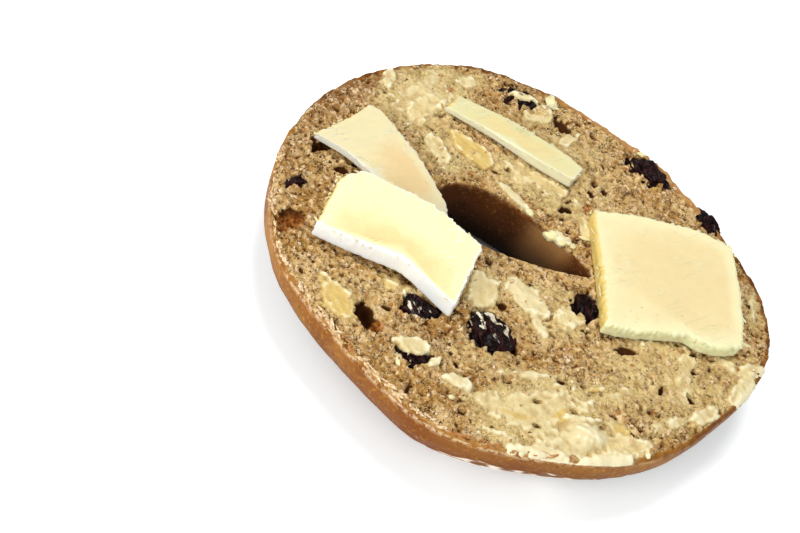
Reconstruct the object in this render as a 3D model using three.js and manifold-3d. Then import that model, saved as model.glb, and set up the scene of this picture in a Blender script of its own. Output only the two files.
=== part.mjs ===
// Half of a sliced raisin bagel, cut face up, buttered, with four slices of butter lying on it.
// Millimetres, +Z up. The origin is under the middle of the whole, on the surface that it lies on.
// +X runs along the bagel's long way, which is also the long way of its hole.
import * as THREE from "three";
import { mergeVertices } from "three/addons/utils/BufferGeometryUtils.js";
import Module from "manifold-3d";

const wasm = await Module();
wasm.setup();

// ---- Driving dimensions ----

const THICK = 17.5; // the half bagel, from its base to the cut face
const RADIUS = 52; // mean radius of the rim of the cut face
// The rim is not quite round: [waves round the rim, height, degrees where it stands furthest out].
const RIM_WAVES = [
  [1, 2.3, 126], [2, 2.5, -4], [3, 1.1, 59], [4, 0.75, 80], [6, 0.4, 153], [7, 0.42, 116],
];
const HOLE = { x: -4.5, y: 5.6, halfLength: 18, halfWidth: 6.4, taper: 0.55 }; // egg-shaped, blunt at -X
const CURL = 20; // how far the crust curls in on its way down to the flat of the base
const BULGE = 0.7; // how far the crust stands out below the rim
const FLARE = 5; // how much the hole widens down to the base
const RIM_ROUND = 0.8; // the cut face rounds off into the crust over this width
const SHOULDER = 7; // the cut face dips towards the rim over this width
const SHOULDER_DROP = 0.4;
const SQUARENESS = 2; // power of the crust's superellipse

const WARP = 0.55; // the cut face is this uneven
const CRUMB_DEPTH = 0.75; // the deepest ordinary hollows of the crumb
const CRUMB_PITCH = 4; // distance between them
const GAP = 0.35; // clear space between pieces that rest on each other
const POCKET_GAP = 0.4; // clear space round a raisin

const SEGMENTS = 102; // faces round the bagel
const FACE_RINGS = 18;
const CRUST_RINGS = 9;
const BASE_RINGS = 2;
const WALL_RINGS = 5;

// Butter spread on the cut face, in soft-edged patches.
const SPREADS = [
  { x: -38, y: 29, long: 22, wide: 13, turn: 62, thick: 0.7 },
  { x: -27.5, y: 16.5, long: 9, wide: 5, turn: 100, thick: 0.7 },
  { x: -21, y: 21, long: 11, wide: 5.5, turn: 100, thick: 0.8 },
  { x: -27.5, y: -34, long: 11, wide: 6, turn: -28, thick: 0.9 },
  { x: -8, y: -35, long: 10, wide: 7, turn: 10, thick: 0.9 },
  { x: -3.8, y: -14.5, long: 11, wide: 8, turn: 60, thick: 0.8 },
  { x: 6.5, y: -10, long: 18, wide: 8, turn: 15, thick: 0.9 },
  { x: 22, y: -36, long: 34, wide: 15, turn: 32, thick: 1.0 },
  { x: 33, y: -33, long: 25, wide: 6.5, turn: 38, thick: 1.6 },
  { x: 49, y: 0, long: 19, wide: 7, turn: 78, thick: 1.3 },
  { x: -4, y: 39.5, long: 8, wide: 4, turn: 80, thick: 0.7 },
  { x: 25, y: -20.5, long: 11, wide: 6, turn: 20, thick: 0.6 },
];

// Holes in the crumb that are larger than its ordinary hollows.
const CAVITIES = [
  { x: -20.4, y: -34.6, across: 6.4, deep: 5 },
  { x: -44.5, y: -22, across: 7, deep: 2.4 },
  { x: -48.4, y: 0.7, across: 5.4, deep: 3.4 },
  { x: -7.6, y: 43, across: 5.4, deep: 2.6 },
  { x: 2.5, y: 19.6, across: 3.6, deep: 2.6 },
  { x: 27, y: -8.4, across: 5, deep: 2 },
  { x: 0.8, y: -13.6, across: 2.8, deep: 2 },
];

// Raisins in the cut face. rise is how far the top stands above the face.
const FACE_RAISINS = [
  { x: -18, y: 43.5, long: 12, wide: 6.4, tall: 4, turn: 0, rise: 0.8 },
  { x: 13.8, y: 43.6, long: 11.5, wide: 7.6, tall: 4.5, turn: -14, rise: 1.2 },
  { x: 15.2, y: -2.4, long: 8.6, wide: 6.4, tall: 4, turn: -62, rise: 0.5 },
  { x: 1.6, y: -21.6, long: 11.5, wide: 9.4, tall: 4.4, turn: -30, rise: 1.1 },
  { x: -13, y: -25.4, long: 10.5, wide: 7, tall: 4, turn: 8, rise: 0.5 },
  { x: -9.8, y: -37.4, long: 12, wide: 7, tall: 4, turn: 12, rise: 0.7 },
  { x: -47.6, y: -12.6, long: 5.4, wide: 3.8, tall: 3, turn: 70, rise: 0.6 },
  { x: -0.2, y: -38, long: 6.6, wide: 3.4, tall: 3, turn: 16, rise: 0.7 },
];

// Raisins in the crust. round is degrees round the bagel, down is how far below the cut face.
const CRUST_RAISINS = [
  { round: 52.5, down: 1.8, long: 8, wide: 4.6, tall: 5, rise: 1.4 },
  { round: 118, down: 8.5, long: 9, wide: 6, tall: 5, rise: 0.7 },
  { round: 22, down: 9.5, long: 8, wide: 5.4, tall: 5, rise: 0.7 },
];

// Slices of butter. corners is the outline seen from above, counter-clockwise, and thick the
// thickness at the -X end and at the +X end. rest is how far the middle of the underside lies above
// the cut, and tilt raises the +Y side, in degrees: the front slice leans on the left one.
const SLICES = [
  {
    name: "butter_slice_left", thick: [1.5, 2.4], rest: 0.2, tilt: 0,
    corners: [
      [-50.6, 0], [-42.6, -0.2], [-38.6, -1.2], [-33, -3.4], [-21, -11.6], [-16.6, -10],
      [-18.1, -1.5], [-24, 4.3], [-29, 8.4], [-41.8, 15.6], [-44.9, 15.4], [-47.4, 7],
    ],
  },
  {
    name: "butter_slice_front", thick: [4, 4], rest: 2, tilt: 13,
    corners: [
      [-39.3, -24], [-30, -23], [-19.6, -21.4], [-7.1, -24.8],
      [-8.5, -10], [-21, -7.1], [-36.6, -8.4], [-40.4, -12.2],
    ],
  },
  {
    name: "butter_slice_back", thick: [1.2, 2.7], rest: 0.2, tilt: 0,
    corners: [
      [-31.2, 27], [-20, 26.8], [-8, 25.5], [0.6, 25.4],
      [1.3, 29.7], [-2.7, 31.4], [-16, 33.2], [-30.4, 32.2],
    ],
  },
  {
    name: "butter_slice_right", thick: [3.1, 3.1], rest: 0.2, tilt: 0,
    corners: [
      [6.8, 19.6], [20.3, -7.8], [25.3, -5.7], [36.6, 1.8], [39.5, 1.2], [44.3, 3.2], [47.6, 6.6],
      [46.3, 12], [41.9, 22.7], [37.2, 31.6], [28.8, 31.2], [15.1, 25.4],
    ],
  },
];
const SLICE_POINTS = 44; // points round a slice
const SLICE_BEVEL = 0.45; // rounding of its edges
const SLICE_WAVE = 0.22; // unevenness of its cut sides
const CROWN = 0.15; // how much its middle stands above its edge
const CORNER_ROUND = 1; // rounding of its corners

// ---- Small helpers ----

const degrees = THREE.MathUtils.degToRad;
const smooth = (t) => THREE.MathUtils.smoothstep(t, 0, 1);
const mix = THREE.MathUtils.lerp;

// Position in a patch's own axes, along its long way and across it.
function inAxesOf(patch, x, y) {
  const turn = degrees(patch.turn ?? 0);
  const [dx, dy] = [x - patch.x, y - patch.y];
  return [dx * Math.cos(turn) + dy * Math.sin(turn), dy * Math.cos(turn) - dx * Math.sin(turn)];
}

// A closed triangle skin over rings of points. Joined rings make a torus, others are capped at both ends.
function skin(rings, joined) {
  const count = rings[0].length;
  const points = rings.flat();
  const faces = [];
  const bands = joined ? rings.length : rings.length - 1;
  for (let i = 0; i < bands; i++) {
    const [low, high] = [i * count, ((i + 1) % rings.length) * count];
    for (let j = 0; j < count; j++) {
      const k = (j + 1) % count;
      faces.push(low + j, low + k, high + k, low + j, high + k, high + j);
    }
  }
  const caps = joined ? [] : [[0, -1], [(rings.length - 1) * count, 1]];
  for (const [start, side] of caps) {
    const middle = points.length;
    points.push(centroid(points.slice(start, start + count)));
    for (let j = 0; j < count; j++) {
      const pair = [start + j, start + ((j + 1) % count)];
      faces.push(middle, ...(side > 0 ? pair : pair.reverse()));
    }
  }
  return new THREE.BufferGeometry().setFromPoints(points).setIndex(faces);
}

function centroid(points) {
  const sum = points.reduce((total, p) => total.add(p), new THREE.Vector3());
  return sum.divideScalar(points.length);
}

function solidOf(geometry) {
  const bare = geometry.clone();
  bare.deleteAttribute("normal");
  bare.deleteAttribute("uv");
  const merged = mergeVertices(bare, 1e-4);
  return new wasm.Manifold(new wasm.Mesh({
    numProp: 3,
    vertProperties: merged.attributes.position.array,
    triVerts: new Uint32Array(merged.index.array),
  }));
}

function geometryOf(solid) {
  const mesh = solid.getMesh();
  const geometry = new THREE.BufferGeometry();
  geometry.setAttribute("position", new THREE.BufferAttribute(mesh.vertProperties, 3));
  geometry.setIndex(new THREE.BufferAttribute(mesh.triVerts, 1));
  geometry.computeVertexNormals();
  return geometry;
}

// The largest body of a solid, without the loose crumbs that a cut leaves.
function mainBody(solid) {
  return solid.decompose().reduce((best, body) => (body.volume() > best.volume() ? body : best));
}

// ---- The cut face ----

function rimPoint(angle) {
  const radius = RIM_WAVES.reduce(
    (sum, [waves, height, peak]) => sum + height * Math.cos(waves * angle - degrees(peak)),
    RADIUS,
  );
  return new THREE.Vector2(radius * Math.cos(angle), radius * Math.sin(angle));
}

function holePoint(angle) {
  const width = HOLE.halfWidth * (1 - HOLE.taper * Math.cos(angle));
  return new THREE.Vector2(
    HOLE.x + HOLE.halfLength * Math.cos(angle),
    HOLE.y + width * Math.sin(angle),
  );
}

// The broad unevenness of the cut.
function warp(x, y) {
  return WARP * (0.6 * Math.sin(x / 15 + 0.8) * Math.cos(y / 19 - 0.5) + 0.4 * Math.sin(y / 11 + x / 27));
}

// Hollows of the crumb, from 0 to 1.
function hollows(x, y) {
  const k = (2 * Math.PI) / CRUMB_PITCH;
  const waves = [[1, 0.13, 0.4], [0.35, 0.94, 1.7], [-0.55, 0.86, 2.9], [0.8, -0.62, 4.1]];
  const sum = waves.reduce((total, [a, b, phase]) => total + Math.sin(k * (a * x + b * y) + phase), 0);
  return smooth(0.5 + sum / 5);
}

// How deep in a patch a point lies: 1 well inside, 0 outside, with a wavy border.
function inside(patch, x, y) {
  const [along, across] = inAxesOf(patch, x, y);
  const angle = Math.atan2(across, along);
  const wavy = 1 + 0.12 * Math.sin(3 * angle + patch.x) + 0.07 * Math.sin(5 * angle + patch.y);
  const distance = Math.hypot(along / patch.long, across / patch.wide) * 2 / wavy;
  return smooth((1.12 - distance) / 0.45);
}

function faceHeight(x, y) {
  const butter = SPREADS.reduce((most, patch) => Math.max(most, patch.thick * inside(patch, x, y)), 0);
  const cover = Math.min(1, butter / 0.4);
  let height = THICK + warp(x, y) - CRUMB_DEPTH * hollows(x, y) * (1 - cover) + butter;
  for (const { x: cx, y: cy, across, deep } of CAVITIES) {
    height -= deep * smooth(1.35 - (2 * Math.hypot(x - cx, y - cy)) / across);
  }
  return height;
}

// ---- The bread ----

function breadGeometry() {
  const angles = Array.from({ length: SEGMENTS }, (_, i) => (i / SEGMENTS) * 2 * Math.PI);
  const spans = angles.map((angle) => {
    const [inner, outer] = [holePoint(angle), rimPoint(angle)];
    const length = inner.distanceTo(outer);
    return { inner, outer, length, out: outer.clone().sub(inner).divideScalar(length) };
  });
  const ring = (place) => spans.map((span) => {
    const [q, z] = place(span);
    const p = span.inner.clone().addScaledVector(span.out, q);
    return new THREE.Vector3(p.x, p.y, z === null ? faceHeight(p.x, p.y) - rimDrop(span, q) : z);
  });
  const rings = [];
  for (let i = 0; i <= FACE_RINGS; i++) {
    // Rings crowd towards both rims, where the face rounds off.
    const share = i / FACE_RINGS - 0.06 * Math.sin((i / FACE_RINGS) * 2 * Math.PI);
    rings.push(ring((span) => [share * span.length, null]));
  }
  for (let i = 1; i <= CRUST_RINGS; i++) {
    const [c, s] = quarter((i / CRUST_RINGS) * (Math.PI / 2));
    rings.push(ring((span) => {
      const [edgeX, edgeY] = [span.outer.x, span.outer.y];
      const top = faceHeight(edgeX, edgeY) - rimDrop(span, span.length);
      return [span.length - CURL * (1 - c) + BULGE * Math.sin(Math.PI * s), top * (1 - s)];
    }));
  }
  for (let i = 1; i <= BASE_RINGS; i++) {
    rings.push(ring((span) => [mix(span.length - CURL, FLARE, i / BASE_RINGS), 0]));
  }
  for (let i = 1; i < WALL_RINGS; i++) {
    const [c, s] = quarter((i / WALL_RINGS) * (Math.PI / 2));
    rings.push(ring((span) => {
      const top = faceHeight(span.inner.x, span.inner.y) - rimDrop(span, 0);
      return [FLARE * (1 - s), top * (1 - c)];
    }));
  }
  return skin(rings.reverse(), true);
}

// Cosine and sine of a quarter turn, squared off a little.
function quarter(angle) {
  return [Math.cos(angle) ** (2 / SQUARENESS), Math.sin(angle) ** (2 / SQUARENESS)];
}

// How far the face has dropped, q millimetres out from the hole's rim.
function rimDrop(span, q) {
  const toRim = Math.min(q, span.length - q);
  const round = RIM_ROUND * (1 - Math.sqrt(1 - Math.max(0, 1 - toRim / RIM_ROUND) ** 2));
  return round + SHOULDER_DROP * smooth(1 - (span.length - q) / SHOULDER) ** 2;
}

// ---- Raisins ----

// A wrinkled ellipsoid, long way along X.
function raisinGeometry({ long, wide, tall }, seed, grow = 0) {
  const geometry = new THREE.IcosahedronGeometry(1, 2);
  const at = geometry.attributes.position;
  const p = new THREE.Vector3();
  for (let i = 0; i < at.count; i++) {
    p.fromBufferAttribute(at, i);
    const folds = Math.sin(5.1 * p.y + 2.3 * p.x + seed) * Math.sin(4.3 * p.z + 1.7 * seed);
    p.multiplyScalar(1 + 0.09 * folds);
    at.setXYZ(i, p.x * (long / 2 + grow), p.y * (wide / 2 + grow), p.z * (tall / 2 + grow));
  }
  return geometry;
}

function raisinPlaces() {
  const face = FACE_RAISINS.map((raisin) => {
    const height = THICK + warp(raisin.x, raisin.y) - rimDropAt(raisin.x, raisin.y);
    const at = new THREE.Vector3(raisin.x, raisin.y, height + raisin.rise - raisin.tall / 2);
    return { raisin, at, turn: new THREE.Euler(0, 0, degrees(raisin.turn)) };
  });
  const crust = CRUST_RAISINS.map((raisin) => {
    const angle = degrees(raisin.round);
    const s = raisin.down / THICK;
    const lean = Math.asin(s ** (SQUARENESS / 2));
    const c = Math.cos(lean) ** (2 / SQUARENESS);
    const sunk = raisin.tall / 2 - raisin.rise;
    const rim = rimPoint(angle);
    const reach = rim.length() - CURL * (1 - c) + BULGE * Math.sin(Math.PI * s) - sunk * Math.cos(lean);
    const height = THICK - raisin.down + sunk * Math.sin(lean);
    const at = new THREE.Vector3(reach * Math.cos(angle), reach * Math.sin(angle), height);
    // The raisin's flat way faces out of the crust.
    const turn = new THREE.Euler(Math.PI / 2 + lean, 0, angle + Math.PI / 2, "ZXY");
    return { raisin, at, turn };
  });
  return [...face, ...crust];
}

// The drop of the face's shoulder near a place on it.
function rimDropAt(x, y) {
  const toRim = rimPoint(Math.atan2(y, x)).length() - Math.hypot(x, y);
  return SHOULDER_DROP * smooth(1 - toRim / SHOULDER) ** 2;
}

function placed(geometry, { at, turn }) {
  return geometry
    .applyMatrix4(new THREE.Matrix4().makeRotationFromEuler(turn))
    .translate(at.x, at.y, at.z);
}

// ---- Butter ----

function sliceOutline(corners) {
  const path = new THREE.Path();
  const points = corners.map(([x, y]) => new THREE.Vector2(x, y));
  const near = (corner, other) => other.clone().sub(corner).setLength(CORNER_ROUND).add(corner);
  points.forEach((corner, i) => {
    const before = near(corner, points.at(i - 1));
    const after = near(corner, points[(i + 1) % points.length]);
    if (i === 0) path.moveTo(before.x, before.y);
    else path.lineTo(before.x, before.y);
    path.quadraticCurveTo(corner.x, corner.y, after.x, after.y);
  });
  path.closePath();
  return path.getSpacedPoints(SLICE_POINTS).slice(0, SLICE_POINTS);
}

function sliceGeometry({ corners, thick, rest, tilt }) {
  const outline = sliceOutline(corners);
  const middle = outline.reduce((sum, p) => sum.add(p), new THREE.Vector2()).divideScalar(SLICE_POINTS);
  const [west, east] = [Math.min(...outline.map((p) => p.x)), Math.max(...outline.map((p) => p.x))];
  const slope = Math.tan(degrees(tilt));
  const under = ({ y }) => THICK + GAP + rest + slope * (y - middle.y);
  const over = (p) => under(p) + mix(...thick, (p.x - west) / (east - west));
  // A ring of the slice, inset from its outline and drawn in to its middle by a share.
  const ring = (inset, share, surface, height) => outline.map((p, i) => {
    const along = outline[(i + 1) % SLICE_POINTS].clone().sub(outline.at(i - 1)).normalize();
    const inwards = inset + SLICE_WAVE * Math.sin(i * 1.9 + middle.x) * Math.sin(i * 0.7);
    const q = new THREE.Vector2(p.x - along.y * inwards, p.y + along.x * inwards).lerp(middle, share);
    return new THREE.Vector3(q.x, q.y, surface(q) + height);
  });
  return skin([
    ring(SLICE_BEVEL, 0.5, under, 0),
    ring(SLICE_BEVEL, 0, under, 0),
    ring(0, 0, under, SLICE_BEVEL),
    ring(0, 0, over, -SLICE_BEVEL),
    ring(SLICE_BEVEL, 0, over, 0),
    ring(SLICE_BEVEL, 0.5, over, CROWN),
  ], false);
}

// ---- Materials and assembly ----

const material = (color, roughness) => new THREE.MeshStandardMaterial({ color, roughness, metalness: 0 });
const BREAD = material(0xc39a62, 0.85);
const RAISIN = material(0x2a1418, 0.4);
const BUTTER = material(0xf6e7b4, 0.45);

function bagel() {
  const group = new THREE.Group();
  const add = (name, geometry, finish) => {
    const mesh = new THREE.Mesh(geometry, finish);
    mesh.name = name;
    group.add(mesh);
  };
  let bread = solidOf(breadGeometry());
  raisinPlaces().forEach((place, i) => {
    bread = bread.subtract(solidOf(placed(raisinGeometry(place.raisin, i, POCKET_GAP), place)));
    add(`raisin_${i + 1}`, placed(raisinGeometry(place.raisin, i), place), RAISIN);
  });
  for (const slice of SLICES) {
    const geometry = sliceGeometry(slice);
    const clearance = solidOf(geometry).translate([0, 0, 0.05 - GAP]);
    bread = bread.subtract(clearance);
    add(slice.name, geometry, BUTTER);
  }
  add("bread_half", geometryOf(mainBody(bread)), BREAD);
  // The origin goes under the middle of the whole.
  const box = new THREE.Box3().setFromObject(group);
  const middle = box.getCenter(new THREE.Vector3());
  group.position.set(-middle.x, -middle.y, -box.min.z);
  return group;
}

export default bagel();
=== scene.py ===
"""Looks of half a raisin bagel, cut face up, with spread butter and four slices of butter.

Sizes are in millimetres until a mesh is made, which is in metres. Places on the bagel are given
in the plan of the cut face and moved by ORIGIN, which puts the middle of the whole over the
frame's origin.
"""
import itertools
import math

import bmesh
import bpy
import numpy as np
from mathutils import Matrix, Vector


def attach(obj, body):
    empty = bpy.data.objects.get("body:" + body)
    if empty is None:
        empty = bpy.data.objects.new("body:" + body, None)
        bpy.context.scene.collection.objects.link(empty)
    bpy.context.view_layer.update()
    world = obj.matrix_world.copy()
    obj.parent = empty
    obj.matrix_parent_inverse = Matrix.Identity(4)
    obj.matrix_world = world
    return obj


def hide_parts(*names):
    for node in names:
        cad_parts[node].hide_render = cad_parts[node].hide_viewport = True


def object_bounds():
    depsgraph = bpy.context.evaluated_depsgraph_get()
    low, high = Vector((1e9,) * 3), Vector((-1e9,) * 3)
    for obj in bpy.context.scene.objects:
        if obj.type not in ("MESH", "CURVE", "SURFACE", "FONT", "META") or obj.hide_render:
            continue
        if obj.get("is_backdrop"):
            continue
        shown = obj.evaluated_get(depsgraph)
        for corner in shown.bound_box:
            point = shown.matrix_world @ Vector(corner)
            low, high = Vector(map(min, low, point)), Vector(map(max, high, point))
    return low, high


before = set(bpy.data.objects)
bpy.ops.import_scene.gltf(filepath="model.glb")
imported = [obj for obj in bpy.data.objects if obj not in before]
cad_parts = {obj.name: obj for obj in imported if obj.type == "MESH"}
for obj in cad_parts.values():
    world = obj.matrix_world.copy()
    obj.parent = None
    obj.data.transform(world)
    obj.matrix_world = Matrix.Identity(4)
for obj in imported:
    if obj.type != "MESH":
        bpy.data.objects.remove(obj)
bounds_of_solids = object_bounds()

MM = 0.001
ORIGIN = np.array([0.560, -0.678, 0.0])

# ---- The bread's form, as in the solid ----

THICK = 17.5
RADIUS = 52.0
# How many waves go round the rim, their height and where each starts, in degrees.
RIM_WAVES = (
    (1, 2.3, 126), (2, 2.5, -4), (3, 1.1, 59), (4, 0.75, 80), (6, 0.4, 153), (7, 0.42, 116),
)
HOLE_AT = (-4.5, 5.6)
HOLE_HALF_LENGTH = 18.0
HOLE_HALF_WIDTH = 6.4
HOLE_TAPER = 0.55
CURL = 20.0  # how far the base's edge lies inside the rim
BULGE = 0.7  # how far the crust swells out on its way there
FLARE = 5.0  # how much further out the hole's wall is at the base
RIM_ROUND = 0.6
SHOULDER = 7.0  # width of the part of the cut face that slopes down to the rim
SHOULDER_DROP = 0.4
WARP = 0.55  # how far the cut face rises and falls
GAP = 0.35  # from the level of the cut to the slices of butter

# The zones of the mesh, and for each the spacing of its points and how many rings it has.
FACE, CRUST, BASE, WALL = range(4)
SPACING = (0.38, 0.66, 2.5, 0.8)
RINGS = (110, 47, 4, 28)
CRUST_LENGTH = 31.0  # from the rim to the base

# Creases in the crust: the direction that they lie in, and how far they reach to each side.
CREASES_AT = math.radians(-68)
CREASES_REACH = math.radians(34)

# ---- Butter, holes and raisins, by their places on the cut face ----

BARE = -0.75  # level of the butter where there is none
SPREAD_FROM = -0.45  # the spread butter's mesh starts where its level is this far below the cut
SPREAD_ROOT = 1.1  # and goes this far below the bread's smooth surface

# Spread butter: x, y, length, width, turn in degrees, thickness, how softly it ends, how yellow it is.
SPREADS = (
    (-36.5, 28.8, 25, 17, 70, 0.14, 0.8, 0.25), (-44.5, 28.0, 7, 3.6, 104, 0.4, 0.3, 0.1),
    (-34.7, 25.3, 14, 7.5, 77, 0.32, 0.5, 0.35), (-30.5, 39.4, 11, 4.5, 37, 0.15, 0.6, 0.1),
    (-27.2, 15.8, 11, 4.6, 131, 0.32, 0.3, 0.35), (-21.6, 21.0, 11.4, 5.6, 163, 0.5, 0.2, 0.9),
    (-27.6, -34.6, 11.4, 6.6, 150, 0.36, 0.4, 1.0), (-20.5, -24.5, 5, 4, 0, 0.15, 0.5, 0.7),
    (-16.2, -24.6, 6, 3.4, 20, 0.75, 0.6, 0.0), (-10.4, -36.0, 8.8, 4.6, 22, 1.25, 0.3, 0.25),
    (-5.2, -36.9, 4.4, 2.6, 60, 1.1, 0.4, 0.0), (0.3, -38.0, 7.6, 3.2, 15, 1.1, 0.45, 0.0),
    (-4.2, -13.1, 11.6, 8.2, 115, 0.5, 0.4, 0.35), (4.8, -9.2, 12, 6.2, 161, 0.55, 0.25, 0.1),
    (14.4, -7.1, 11, 7.4, 42, 0.32, 0.45, 0.3), (9.0, -13.5, 8, 3.2, -40, 0.36, 0.4, 0.1),
    (17.3, -32.6, 29, 14, 49, 0.26, 0.6, 0.3), (9.0, -37.5, 13, 7.5, 20, 0.2, 0.7, 0.25),
    (21.0, -42.0, 20, 4.4, 20, 0.42, 0.5, 0.1), (27.2, -33.2, 13.5, 10.5, 33, 1.9, 1.1, 0.0),
    (25.5, -29.6, 11, 2.2, 30, 0.7, 0.6, 0.2), (21.6, -31.4, 10, 4.4, 62, 0.3, 0.6, 1.0),
    (33.6, -27.2, 9, 3.6, -8, 0.24, 0.6, 0.9), (14.0, -37.6, 12, 3.0, 15, 0.3, 0.6, 0.8),
    (35.7, -29.8, 11.4, 6.6, 45, 0.4, 0.4, 0.4), (33.0, -35.6, 17, 5, 41, 0.5, 0.5, 0.1),
    (25.4, -20.4, 10, 2.6, 40, 0.16, 0.7, 0.8), (22.4, -24.6, 7, 2.4, 80, 0.14, 0.7, 0.8),
    (12.0, -26.4, 14, 2.4, 32, 0.2, 0.6, 0.1), (51.6, -0.6, 14, 5.0, 80, 0.34, 0.5, 0.3),
    (51.6, 5.4, 8.4, 5.2, 50, 0.26, 0.5, 0.3), (46.5, 3.0, 10, 6, 10, 0.16, 0.7, 0.4),
    (46.6, -12.6, 10, 4.2, 55, 0.36, 0.5, 0.1), (39.6, -5.5, 23, 6, -77, 0.14, 0.65, 0.3),
    (30.0, -19.0, 15, 5, 40, 0.12, 0.7, 0.5), (41.0, -19.5, 12, 4.4, 60, 0.14, 0.6, 0.2),
    (-13.3, 41.4, 9.6, 5.8, 58, 0.36, 0.35, 0.3), (-17.8, 43.5, 7.5, 2.8, 15, 1.25, 0.5, 0.1),
    (25.0, -38.0, 17, 6.0, 28, 0.3, 0.6, 0.2), (14.3, -42.9, 15, 5.4, 5, 0.24, 0.7, 0.2),
    (-10.5, 21.4, 13, 6.5, -10, 0.26, 0.8, 0.4), (47.0, 22.5, 12, 3.4, 110, 0.16, 0.7, 0.4),
    (33.5, -2.2, 16, 4.4, 25, 0.16, 0.8, 0.7), (-4.6, 39.7, 8.5, 3.2, 75, 0.26, 0.4, 0.3),
    (-4.5, 23.1, 19, 6.5, 173, 0.2, 0.6, 0.5), (-2.2, 32.4, 20, 8, 131, 0.0, 0.8, 0.1),
    (-8.0, 14.6, 12, 2.2, -20, 0.55, 0.3, 0.1), (3.6, 10.4, 6, 3, 5, 0.75, 0.3, 0.0),
    (8.2, 16.2, 6, 2.4, -60, 0.4, 0.35, 0.35),
)
# A greasy film on the crumb: x, y, length, width, turn, amount.
FILMS = (
    (37, -10, 36, 28, 30, 0.6), (17, -33, 36, 20, 45, 0.7), (-36.5, 29, 30, 20, 70, 0.8),
    (11, -8, 24, 17, 10, 0.6), (-8, 40, 34, 11, 0, 0.5), (2, 33, 28, 14, 131, 0.45),
    (-25, 18, 20, 17, 0, 0.65), (-5, 21, 28, 11, 173, 0.8), (-24, -29, 18, 9, -20, 0.35),
    (4, -28, 26, 11, 15, 0.45),
)
# Where the crumb is torn more coarsely: x, y, length, width, turn, amount.
COARSE_PARTS = (
    (-42, 12, 34, 18, 60, 1.0), (-34, -24, 30, 14, -35, 0.5), (-12, -33, 26, 14, 0, 0.6),
    (20, -17, 18, 10, 20, 0.5),
)
# Sticky orange-brown spots where fruit has stained the crumb: x, y, reach.
STAINS = (
    (-44.0, -22.6, 3.6), (-32.4, 34.2, 1.2), (-18.9, 15.1, 0.9), (6.0, 23.0, 1.8),
    (39.8, -2.1, 1.2), (37.3, -18.4, 1.0), (-46.5, -27.0, 1.4), (-18.4, -35.4, 1.9),
)
# Large holes in the crumb: x, y, length, width, turn, depth.
CAVITIES = (
    (-21.6, -34.4, 5.2, 3.6, -50, 3.8), (-18.9, -35.2, 4.2, 3.0, -50, 1.2),
    (-44.5, -22, 7.4, 5.2, 60, 1.3), (-48.0, 0.5, 5.0, 2.6, 40, 2.0),
    (-7.2, 42.8, 6.0, 3.6, -20, 1.0), (2.5, 19.6, 2.6, 1.8, 20, 2.2), (27, -7.6, 6.0, 2.2, 30, 1.2),
    (0.8, -13.6, 2.8, 2.0, 60, 1.6), (15.8, -31.4, 1.6, 0.8, 10, 1.4),
    (18.0, -37.0, 1.7, 0.7, 20, 1.2), (23.2, -29.0, 1.4, 0.8, 0, 1.2),
    (18.3, -23.5, 2.2, 1.4, 40, 1.6), (36.7, -12.0, 2.4, 1.1, 100, 1.6),
    (43.0, -10.5, 2.6, 1.2, -20, 1.6), (41.1, -3.4, 1.6, 1.0, 70, 1.4),
    (41.9, 2.6, 1.4, 0.9, 0, 1.2), (36.4, -18.9, 1.6, 0.9, 60, 1.4),
    (4.2, -43.4, 1.9, 1.0, -20, 1.4), (-41.8, -2.5, 3.4, 2.2, 20, 1.6),
    (-25.6, -40.4, 2.6, 1.4, -40, 1.4),
)

# In the face: x, y, length, width, height, turn, rise above the face, butter on it, how much the
# torn crumb hides it.
FACE_RAISINS = (
    (-18, 43.5, 12, 6.4, 4, 0, 0.8, 0.25, 0.7),
    (13.8, 43.6, 11.5, 7.6, 4.5, -14, 1.2, 0.2, 0.55),
    (15.2, -2.4, 8.6, 6.4, 4, -62, 0.5, 0.2, 0.5),
    (1.6, -21.6, 11.5, 9.4, 4.4, -30, 1.1, 0.43, 0.35),
    (-13, -25.4, 10.5, 7, 4, 8, 0.5, 0.4, 0.5),
    (-9.8, -37.4, 12, 7, 4, 12, 0.7, 0.3, 0.7),
    (-47.6, -12.6, 5.4, 3.8, 3, 70, 0.6, 0.1, 0.6),
    (-0.2, -38, 6.6, 3.4, 3, 16, 0.7, 0.4, 0.6),
)
# In the crust: degrees round the bagel, how far below the cut, length, width, height, rise.
CRUST_RAISINS = (
    (52.5, 1.8, 8, 4.6, 5, 1.4),
    (118, 8.5, 9, 6, 5, 0.7),
    (22, 9.5, 8, 5.4, 5, 0.7),
)
POCKET = 1.6  # depth of the hollow that a raisin in the face lies in


def smooth(t):
    t = np.clip(t, 0.0, 1.0)
    return t * t * (3 - 2 * t)


def rim(angle):
    radius = RADIUS + sum(h * np.cos(n * angle - math.radians(p)) for n, h, p in RIM_WAVES)
    return np.stack([radius * np.cos(angle), radius * np.sin(angle)], -1)


def hole(angle):
    width = HOLE_HALF_WIDTH * (1 - HOLE_TAPER * np.cos(angle))
    x = HOLE_AT[0] + HOLE_HALF_LENGTH * np.cos(angle)
    return np.stack([x, HOLE_AT[1] + width * np.sin(angle)], -1)


def warp(x, y):
    broad = 0.6 * np.sin(x / 15 + 0.8) * np.cos(y / 19 - 0.5)
    return WARP * (broad + 0.4 * np.sin(y / 11 + x / 27))


def unit(vectors):
    return vectors / np.maximum(np.linalg.norm(vectors, axis=-1, keepdims=True), 1e-9)


def evenly(path, step, fewest):
    """How far along a path its points are, and how far along are points a step apart."""
    walked = np.concatenate([[0], np.cumsum(np.linalg.norm(np.diff(path, axis=0), axis=1))])
    count = max(fewest, round(walked[-1] / step))
    return walked, np.arange(count) * walked[-1] / count


# ---- Noise ----


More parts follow.
